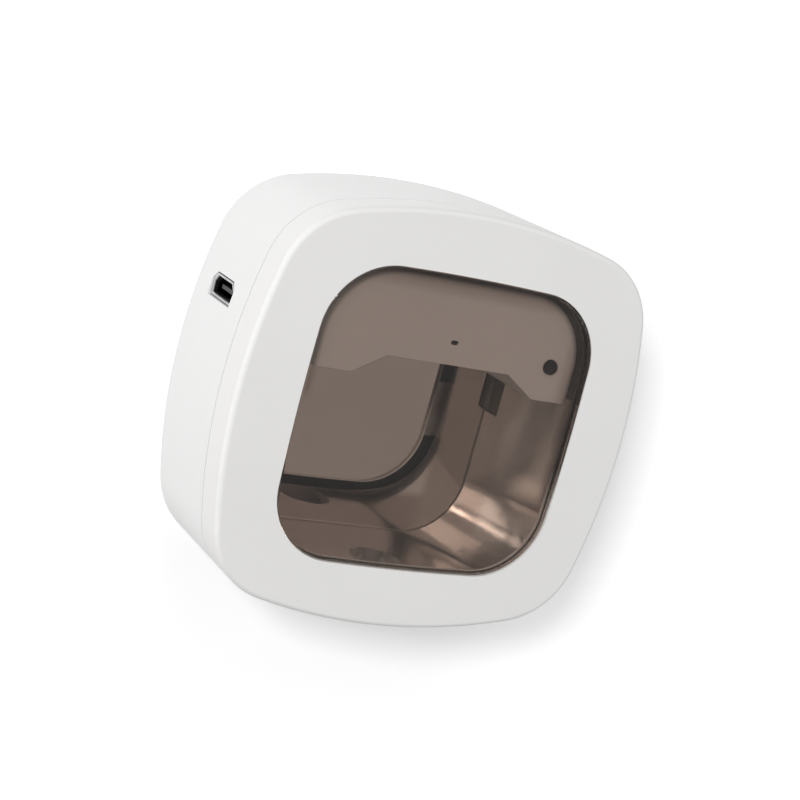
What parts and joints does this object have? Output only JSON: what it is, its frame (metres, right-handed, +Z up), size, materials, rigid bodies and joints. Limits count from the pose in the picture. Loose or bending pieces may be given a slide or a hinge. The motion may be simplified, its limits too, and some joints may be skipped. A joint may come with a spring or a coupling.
{
  "type": "uv toothbrush sterilizer",
  "caption": "Small bowed-square white case with a hinged cover and smoked window over a lamp-lit chamber, a bottom slot for a brush neck, a side charging socket and an adhesive back pad.",
  "frame": {"origin": "middle of the adhesive pad's face that lies against the wall", "axes": "+X to the right of someone facing the window, +Y into the wall, +Z up"},
  "size_m": [0.0679, 0.028, 0.064],
  "materials": {
    "cover_white": "glossy white moulding",
    "shell_white": "glossy white moulding",
    "deck_white": "satin white moulding",
    "housing_white": "satin white moulding",
    "smoked_pane": "polished brown-grey acrylic",
    "clear_window": "polished clear quartz",
    "light_pipe": "frosted clear plastic",
    "clear_tape": "cloudy clear tape",
    "dark_rubber": "soft dark rubber",
    "magnet": "nickel plated",
    "steel": "plain steel",
    "socket_steel": "tinned steel sheet",
    "reflector": "metallised plastic, soft mirror",
    "mirror_plate": "polished",
    "board_metal": "white-masked aluminium board",
    "lamp_ceramic": "white ceramic package",
    "board_green": "green solder mask",
    "chip_black": "moulded epoxy",
    "gold_pins": "gold plated",
    "switch_black": "moulded black",
    "plunger_dark": "moulded dark grey",
    "battery_foil": "laminated pouch foil",
    "lead_jacket": "soft jacket",
    "seal_white": "soft milky silicone",
    "pad_foam": "foam pad with peel-off film"
  },
  "bodies": {
    "case": {"rear_shell": "shell_white", "hinge_pin": "steel", "inner_deck": "deck_white", "reflector_tub": "reflector", "niche_pads": "dark_rubber", "back_mirror": "mirror_plate", "lamp_housing": "housing_white", "lamp_window": "clear_window", "led_board": "board_metal", "uvc_leds": "lamp_ceramic", "main_board": "board_green", "board_chips": "chip_black", "lamp_pins": "gold_pins", "door_switch": "switch_black", "plunger_spring": "steel", "light_pipe": "light_pipe", "indicator_led": "lamp_ceramic", "battery": "battery_foil", "battery_leads": "lead_jacket", "charge_board": "board_green", "usb_socket": "socket_steel", "usb_tongue": "switch_black", "charge_leads": "lead_jacket", "case_magnet": "magnet", "deck_screws": "steel", "board_screws": "steel", "housing_screws": "steel", "neck_seal": "seal_white", "wall_pad": "pad_foam"},
    "cover": {"front_cover": "cover_white", "window_pane": "smoked_pane", "pane_tape": "clear_tape", "cover_magnet": "magnet"},
    "plunger": {"switch_plunger": "plunger_dark"}
  },
  "joints": [
    {"name": "cover_hinge", "type": "hinge", "parent": "case", "child": "cover", "pos_m": [0.0334, -0.022, 0], "axis": [0, 0, 1], "range_deg": [0, 125]},
    {"name": "switch_press", "type": "slide", "parent": "case", "child": "plunger", "axis": [0, 1, 0], "range_m": [0, 0.0008], "stiffness_N_per_m": 500, "springref_m": -0.0004, "deforming": ["plunger_spring"]}
  ]
}
